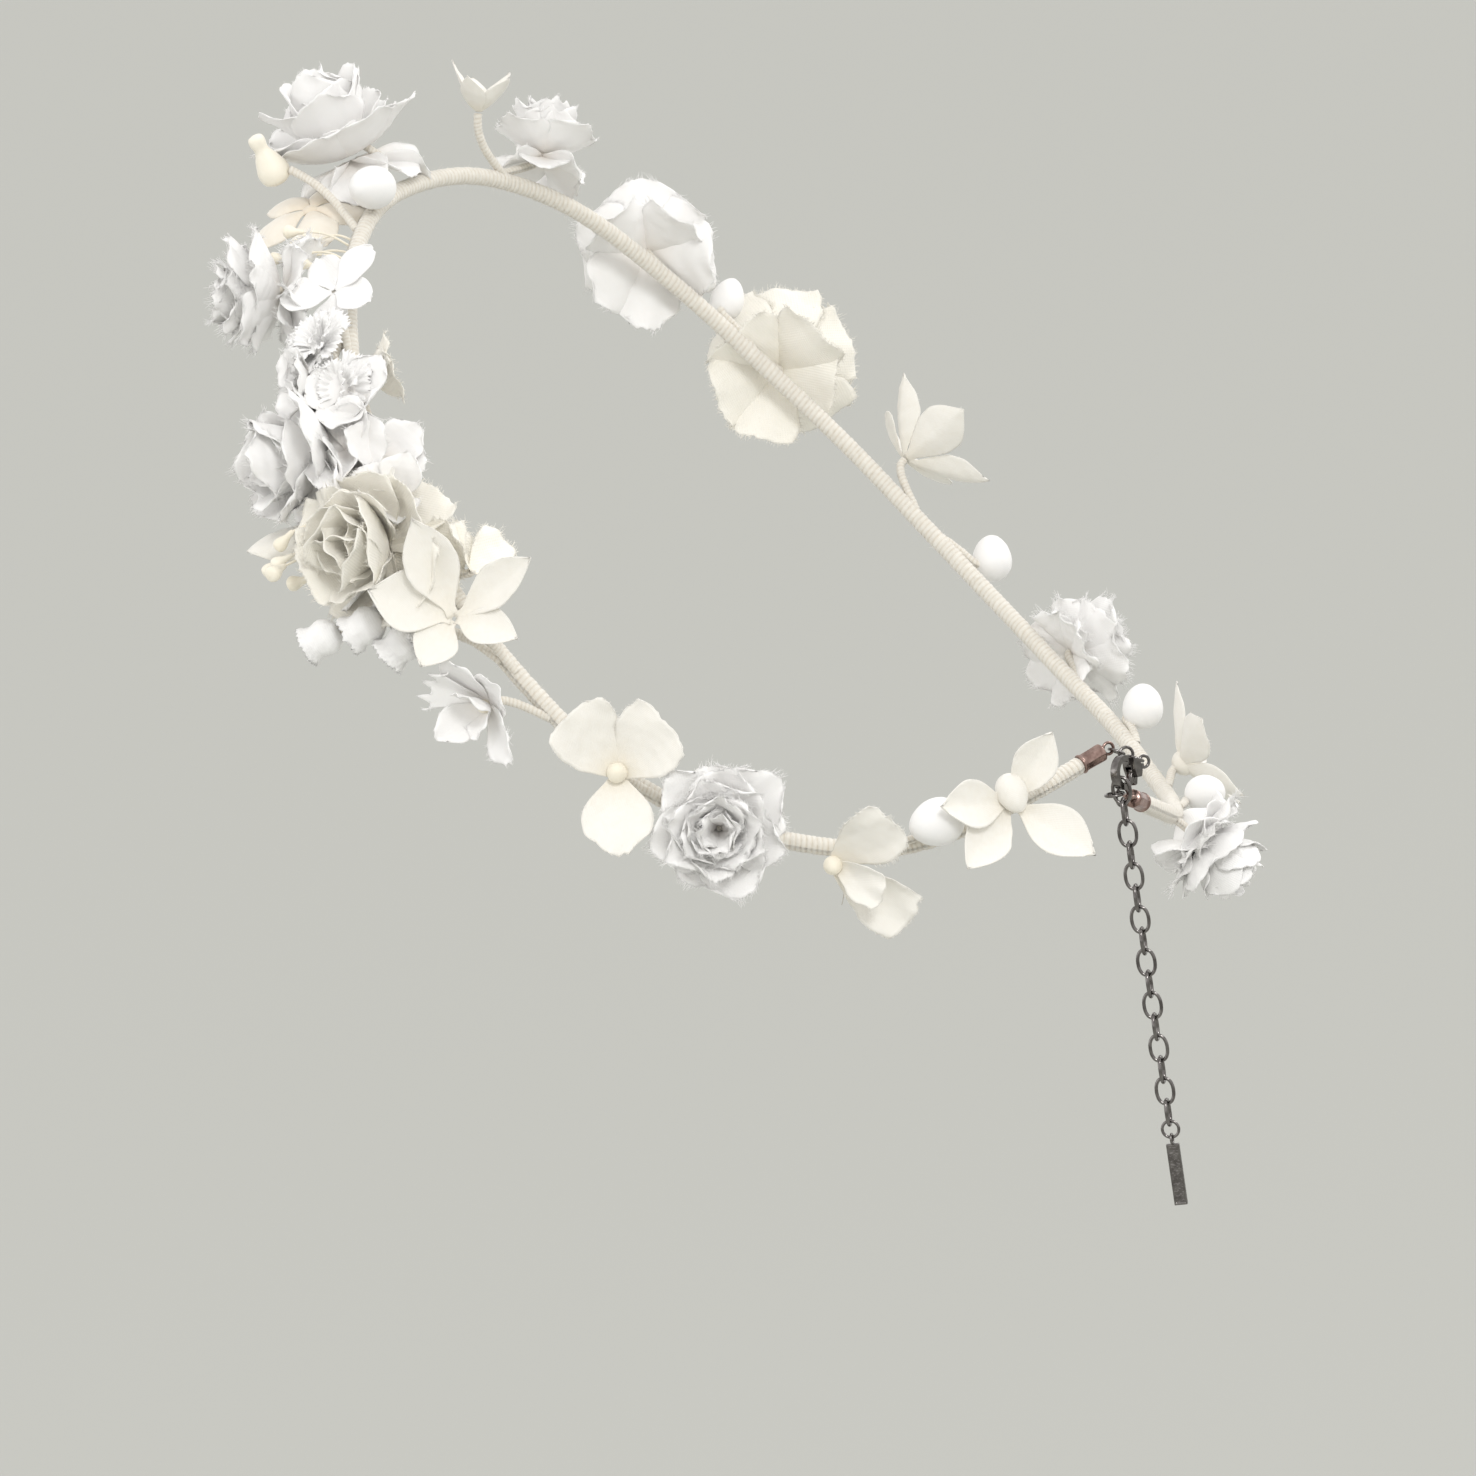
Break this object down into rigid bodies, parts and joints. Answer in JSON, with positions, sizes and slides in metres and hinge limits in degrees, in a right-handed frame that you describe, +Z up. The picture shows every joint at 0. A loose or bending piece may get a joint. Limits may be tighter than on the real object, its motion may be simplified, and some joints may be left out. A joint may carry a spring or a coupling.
{
  "type": "flower crown",
  "caption": "Open wire crown wrapped in ivory thread, set with white and cream fabric flowers and buds, closed at the nape by a lobster clasp and a hanging extension chain.",
  "frame": {"origin": "centre of the ring where the head goes through", "axes": "+Z up as the crown is worn, brow towards -Y, nape towards +Y, the wearer's left towards +X"},
  "size_m": [0.1854, 0.1787, 0.2264],
  "materials": {
    "band_wire": "annealed wire",
    "band_thread": "ivory floral thread, close wound",
    "copper_caps": "coppery gunmetal plating, polished",
    "spring_steel": "bright drawn wire",
    "gunmetal": "gunmetal plating, polished",
    "cream_satin": "cream satin",
    "cream_mesh": "stiff open-weave gauze",
    "ivory_pips": "waxed cotton",
    "ivory_cotton": "stiffened cotton",
    "white_gauze": "frayed silk gauze",
    "white_silk": "crushed silk"
  },
  "bodies": {
    "crown": {"band_wire": "band_wire", "band_wrap": "band_thread", "cap_left": "copper_caps", "cap_right": "copper_caps", "crest_rose": "white_silk", "ivory_bud": "cream_satin", "satin_blossom": "cream_satin", "egg_buds": "white_silk", "brow_gauze_rose": "white_gauze", "brow_pips": "ivory_pips", "brow_blossom": "white_silk", "florets": "white_silk", "frayed_petals": "cream_mesh", "silk_rose": "white_silk", "leaf_petals": "ivory_cotton", "mesh_rose": "cream_mesh", "temple_pips": "ivory_pips", "lily": "ivory_cotton", "bell_buds": "white_silk", "small_blossom": "white_silk", "three_petal_blossom": "ivory_cotton", "ear_gauze_rose": "white_gauze", "two_petal_blossom": "ivory_cotton", "star_blossom": "ivory_cotton", "nape_rose": "white_gauze", "right_pointed_blossom": "ivory_cotton", "right_ruffle_rose": "white_silk", "right_silk_rose": "white_silk", "right_mesh_rose": "cream_mesh", "right_lily": "ivory_cotton", "right_gauze_rose": "white_gauze", "right_star_blossom": "ivory_cotton", "right_buds": "white_silk"},
    "clasp_link_1": {"clasp_link_1": "gunmetal"},
    "clasp_link_2": {"clasp_link_2": "gunmetal"},
    "clasp_link_3": {"clasp_link_3": "gunmetal"},
    "clasp": {"clasp_body": "gunmetal", "clasp_pin": "gunmetal", "clasp_spring": "spring_steel"},
    "trigger": {"clasp_trigger": "gunmetal"},
    "jump_ring_1": {"jump_ring_1": "gunmetal"},
    "jump_ring_2": {"jump_ring_2": "gunmetal"},
    "chain_link_01": {"chain_link_01": "gunmetal"},
    "chain_link_02": {"chain_link_02": "gunmetal"},
    "chain_link_03": {"chain_link_03": "gunmetal"},
    "chain_link_04": {"chain_link_04": "gunmetal"},
    "chain_link_05": {"chain_link_05": "gunmetal"},
    "chain_link_06": {"chain_link_06": "gunmetal"},
    "chain_link_07": {"chain_link_07": "gunmetal"},
    "chain_link_08": {"chain_link_08": "gunmetal"},
    "chain_link_09": {"chain_link_09": "gunmetal"},
    "chain_link_10": {"chain_link_10": "gunmetal"},
    "chain_link_11": {"chain_link_11": "gunmetal"},
    "chain_link_12": {"chain_link_12": "gunmetal"},
    "chain_link_13": {"chain_link_13": "gunmetal"},
    "chain_link_14": {"chain_link_14": "gunmetal"},
    "chain_link_15": {"chain_link_15": "gunmetal"},
    "chain_link_16": {"chain_link_16": "gunmetal"},
    "end_ring": {"end_ring": "gunmetal"},
    "end_bar": {"end_bar": "gunmetal"}
  },
  "joints": [
    {"name": "clasp_link_1_swing", "type": "hinge", "parent": "crown", "child": "clasp_link_1", "pos_m": [0.00988, 0.07777, -0.04251], "axis": [-0.4293, 0.2493, 0.8681], "range_deg": [-1, 1]},
    {"name": "clasp_link_2_swing", "type": "hinge", "parent": "clasp_link_1", "child": "clasp_link_2", "pos_m": [0.00813, 0.07878, -0.04367], "axis": [-0.5021, -0.8648, 0], "range_deg": [0, 1]},
    {"name": "clasp_link_3_swing", "type": "hinge", "parent": "clasp_link_2", "child": "clasp_link_3", "pos_m": [0.00648, 0.07974, -0.04476], "axis": [0.4293, -0.2493, -0.8681], "range_deg": [-1, 1]},
    {"name": "clasp_swing", "type": "hinge", "parent": "clasp_link_3", "child": "clasp", "pos_m": [0.00482, 0.08071, -0.04586], "axis": [-0.5021, -0.8648, 0], "range_deg": [0, 1]},
    {"name": "trigger_press", "type": "hinge", "parent": "clasp", "child": "trigger", "pos_m": [0.0087, 0.08089, -0.04697], "axis": [0, -1, 0], "range_deg": [0, 20], "stiffness_Nm_per_rad": 0.0015, "springref_deg": -14.32},
    {"name": "jump_ring_1_swing", "type": "hinge", "parent": "crown", "child": "jump_ring_1", "pos_m": [0.01101, 0.07972, -0.05144], "axis": [-0.153, -0.9882, 0], "range_deg": [0, 1]},
    {"name": "jump_ring_2_swing", "type": "hinge", "parent": "jump_ring_1", "child": "jump_ring_2", "pos_m": [0.01325, 0.07927, -0.05052], "axis": [0, 0, 1], "range_deg": [-1, 1]},
    {"name": "chain_link_01_swing", "type": "hinge", "parent": "clasp", "child": "chain_link_01", "pos_m": [0.01388, 0.08089, -0.04697], "axis": [0.342, -0.9397, 0], "range_deg": [-1, 1]},
    {"name": "chain_link_02_swing", "type": "hinge", "parent": "chain_link_01", "child": "chain_link_02", "pos_m": [0.01388, 0.08089, -0.05197], "axis": [-0.342, 0.9397, 0], "range_deg": [-30, 15]},
    {"name": "chain_link_03_swing", "type": "hinge", "parent": "chain_link_02", "child": "chain_link_03", "pos_m": [0.01388, 0.08089, -0.05617], "axis": [0.9397, 0.342, 0], "range_deg": [-30, 30]},
    {"name": "chain_link_04_swing", "type": "hinge", "parent": "chain_link_03", "child": "chain_link_04", "pos_m": [0.01388, 0.08089, -0.06037], "axis": [0.342, -0.9397, 0], "range_deg": [-30, 30]},
    {"name": "chain_link_05_swing", "type": "hinge", "parent": "chain_link_04", "child": "chain_link_05", "pos_m": [0.01388, 0.08089, -0.06457], "axis": [-0.9397, -0.342, 0], "range_deg": [-30, 30]},
    {"name": "chain_link_06_swing", "type": "hinge", "parent": "chain_link_05", "child": "chain_link_06", "pos_m": [0.01388, 0.08089, -0.06877], "axis": [-0.342, 0.9397, 0], "range_deg": [-30, 30]},
    {"name": "chain_link_07_swing", "type": "hinge", "parent": "chain_link_06", "child": "chain_link_07", "pos_m": [0.01388, 0.08089, -0.07297], "axis": [0.9397, 0.342, 0], "range_deg": [-30, 30]},
    {"name": "chain_link_08_swing", "type": "hinge", "parent": "chain_link_07", "child": "chain_link_08", "pos_m": [0.01388, 0.08089, -0.07717], "axis": [0.342, -0.9397, 0], "range_deg": [-30, 30]},
    {"name": "chain_link_09_swing", "type": "hinge", "parent": "chain_link_08", "child": "chain_link_09", "pos_m": [0.01388, 0.08089, -0.08137], "axis": [-0.9397, -0.342, 0], "range_deg": [-30, 30]},
    {"name": "chain_link_10_swing", "type": "hinge", "parent": "chain_link_09", "child": "chain_link_10", "pos_m": [0.01388, 0.08089, -0.08557], "axis": [-0.342, 0.9397, 0], "range_deg": [-30, 30]},
    {"name": "chain_link_11_swing", "type": "hinge", "parent": "chain_link_10", "child": "chain_link_11", "pos_m": [0.01388, 0.08089, -0.08977], "axis": [0.9397, 0.342, 0], "range_deg": [-30, 30]},
    {"name": "chain_link_12_swing", "type": "hinge", "parent": "chain_link_11", "child": "chain_link_12", "pos_m": [0.01388, 0.08089, -0.09397], "axis": [0.342, -0.9397, 0], "range_deg": [-30, 30]},
    {"name": "chain_link_13_swing", "type": "hinge", "parent": "chain_link_12", "child": "chain_link_13", "pos_m": [0.01388, 0.08089, -0.09817], "axis": [-0.9397, -0.342, 0], "range_deg": [-30, 30]},
    {"name": "chain_link_14_swing", "type": "hinge", "parent": "chain_link_13", "child": "chain_link_14", "pos_m": [0.01388, 0.08089, -0.10237], "axis": [-0.342, 0.9397, 0], "range_deg": [-30, 30]},
    {"name": "chain_link_15_swing", "type": "hinge", "parent": "chain_link_14", "child": "chain_link_15", "pos_m": [0.01388, 0.08089, -0.10657], "axis": [0.9397, 0.342, 0], "range_deg": [-30, 30]},
    {"name": "chain_link_16_swing", "type": "hinge", "parent": "chain_link_15", "child": "chain_link_16", "pos_m": [0.01388, 0.08089, -0.11077], "axis": [0.342, -0.9397, 0], "range_deg": [-30, 30]},
    {"name": "end_ring_swing", "type": "hinge", "parent": "chain_link_16", "child": "end_ring", "pos_m": [0.01388, 0.08089, -0.11497], "axis": [0.9397, 0.342, 0], "range_deg": [-30, 30]},
    {"name": "end_bar_swing", "type": "hinge", "parent": "end_ring", "child": "end_bar", "pos_m": [0.01388, 0.08089, -0.11742], "axis": [-0.342, 0.9397, 0], "range_deg": [-30, 30]}
  ]
}
